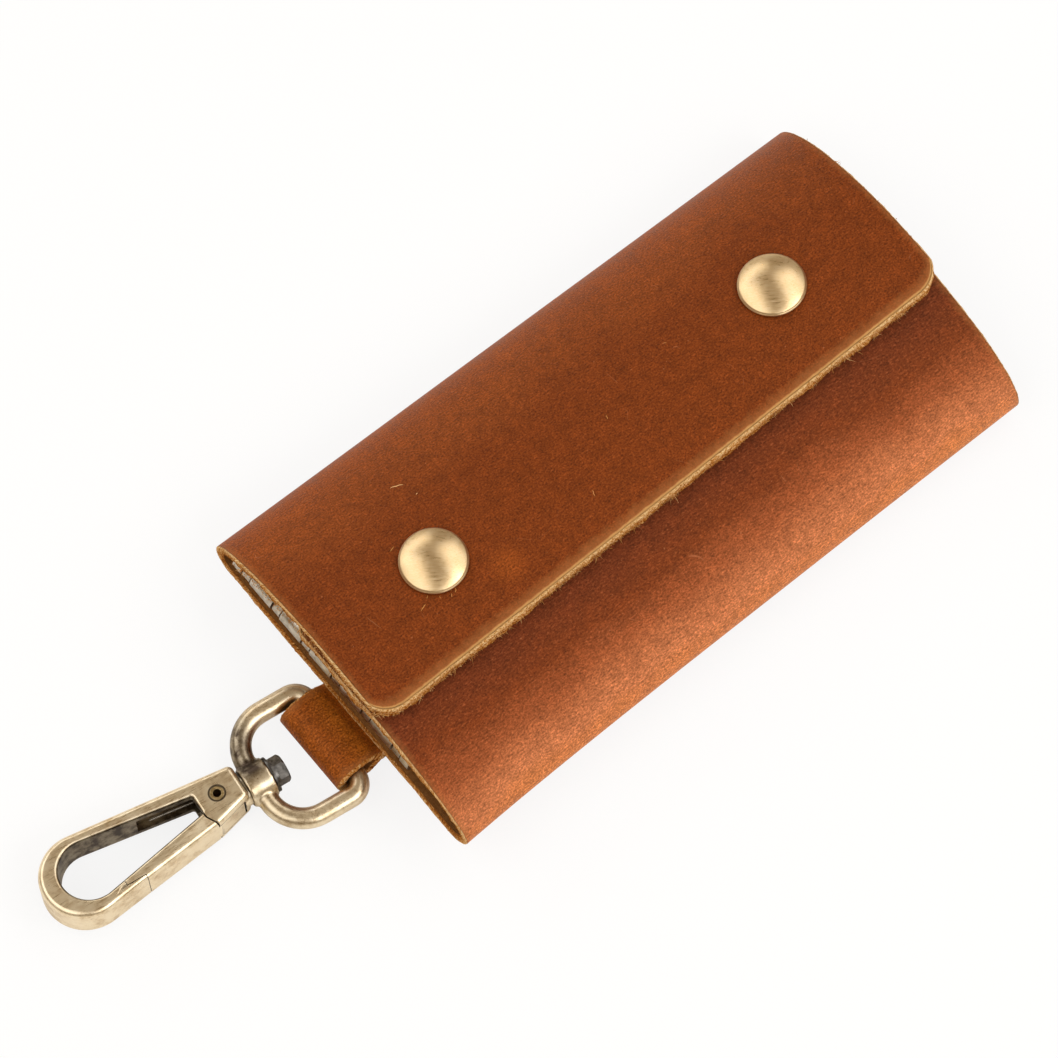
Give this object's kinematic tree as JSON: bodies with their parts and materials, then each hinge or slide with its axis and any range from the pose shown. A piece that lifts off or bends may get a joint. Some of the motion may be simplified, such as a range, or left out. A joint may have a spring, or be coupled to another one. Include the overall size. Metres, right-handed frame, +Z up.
{
  "type": "key case",
  "caption": "Leather key case folded in three, closed by snaps, with swinging key hooks inside and a swivel clasp on a strap.",
  "frame": {"origin": "under the middle of the whole object, on the surface it lies on, with the case closed", "axes": "+X along the folds from the clasp to the far end, +Y across towards the back fold, +Z up"},
  "size_m": [0.1934, 0.069, 0.0244],
  "materials": {
    "cognac_leather": "waxed full-grain cowhide, matte, fine grain",
    "strap_leather": "waxed cowhide strap, matte, raw edges",
    "antique_brass": "brushed antique brass plating",
    "dark_steel": "dark gunmetal plating",
    "nickel": "satin nickel plating",
    "spring_steel": "bright spring wire"
  },
  "bodies": {
    "case_back": {"back_panel": "cognac_leather", "strap": "strap_leather", "strap_rivets": "antique_brass", "hook_plate": "nickel", "plate_rivets": "nickel", "hook_rod": "nickel"},
    "flap": {"flap": "cognac_leather", "snap_cap_1": "antique_brass", "snap_cap_2": "antique_brass", "snap_socket_1": "antique_brass", "snap_socket_2": "antique_brass", "snap_spring_1": "spring_steel", "snap_spring_2": "spring_steel"},
    "front": {"front_panel": "cognac_leather", "snap_stud_1": "antique_brass", "snap_stud_2": "antique_brass", "stud_backing_1": "antique_brass", "stud_backing_2": "antique_brass"},
    "ring": {"clasp_ring": "antique_brass"},
    "hook": {"hook_frame": "antique_brass", "swivel_bolt": "dark_steel", "bolt_washers": "dark_steel", "gate_pin": "antique_brass", "gate_spring": "spring_steel"},
    "gate": {"hook_gate": "antique_brass"},
    "key_hook_1": {"key_hook_1": "nickel"},
    "key_hook_2": {"key_hook_2": "nickel"},
    "key_hook_3": {"key_hook_3": "nickel"},
    "key_hook_4": {"key_hook_4": "nickel"},
    "key_hook_5": {"key_hook_5": "nickel"},
    "key_hook_6": {"key_hook_6": "nickel"}
  },
  "joints": [
    {"name": "flap_fold", "type": "hinge", "parent": "case_back", "child": "flap", "pos_m": [0.03102, 0.034, 0.00705], "axis": [-0.9991, 0.0077, 0.0423], "range_deg": [0, 140]},
    {"name": "front_fold", "type": "hinge", "parent": "case_back", "child": "front", "pos_m": [0.03102, -0.034, 0.00705], "axis": [0.9991, 0.0077, -0.0423], "range_deg": [0, 46.8]},
    {"name": "ring_pivot", "type": "hinge", "parent": "case_back", "child": "ring", "pos_m": [-0.03887, -0.00452, 0.0039], "axis": [0.1305, 0.9914, 0], "range_deg": [-95, 65]},
    {"name": "hook_swivel", "type": "hinge", "parent": "ring", "child": "hook", "pos_m": [-0.05409, -0.00251, 0.00422], "axis": [-0.9912, 0.1305, 0.0209], "continuous": true},
    {"name": "gate_pivot", "type": "hinge", "parent": "hook", "child": "gate", "pos_m": [-0.0615, -0.00094, 0.00432], "axis": [-0.0343, -0.1009, -0.9943], "range_deg": [0, 22], "stiffness_Nm_per_rad": 0.02, "springref_deg": -34.38},
    {"name": "key_hook_1_turn", "type": "hinge", "parent": "case_back", "child": "key_hook_1", "pos_m": [-0.03076, 0.0268, 0.01001], "axis": [0, -1, 0], "range_deg": [-2, 3]},
    {"name": "key_hook_2_turn", "type": "hinge", "parent": "case_back", "child": "key_hook_2", "pos_m": [-0.03076, 0.0184, 0.01001], "axis": [0, -1, 0], "range_deg": [-2, 8]},
    {"name": "key_hook_3_turn", "type": "hinge", "parent": "case_back", "child": "key_hook_3", "pos_m": [-0.03076, 0.01, 0.01001], "axis": [0, -1, 0], "range_deg": [-2, 8]},
    {"name": "key_hook_4_turn", "type": "hinge", "parent": "case_back", "child": "key_hook_4", "pos_m": [-0.03076, 0.0016, 0.01001], "axis": [0, -1, 0], "range_deg": [-2, 8]},
    {"name": "key_hook_5_turn", "type": "hinge", "parent": "case_back", "child": "key_hook_5", "pos_m": [-0.03076, -0.0068, 0.01001], "axis": [0, -1, 0], "range_deg": [-2, 8]},
    {"name": "key_hook_6_turn", "type": "hinge", "parent": "case_back", "child": "key_hook_6", "pos_m": [-0.03076, -0.0152, 0.01001], "axis": [0, -1, 0], "range_deg": [-2, 6]}
  ],
  "couplings": [
    {"joint": "front_fold", "follows": "flap_fold", "ratio": 0.3333}
  ]
}
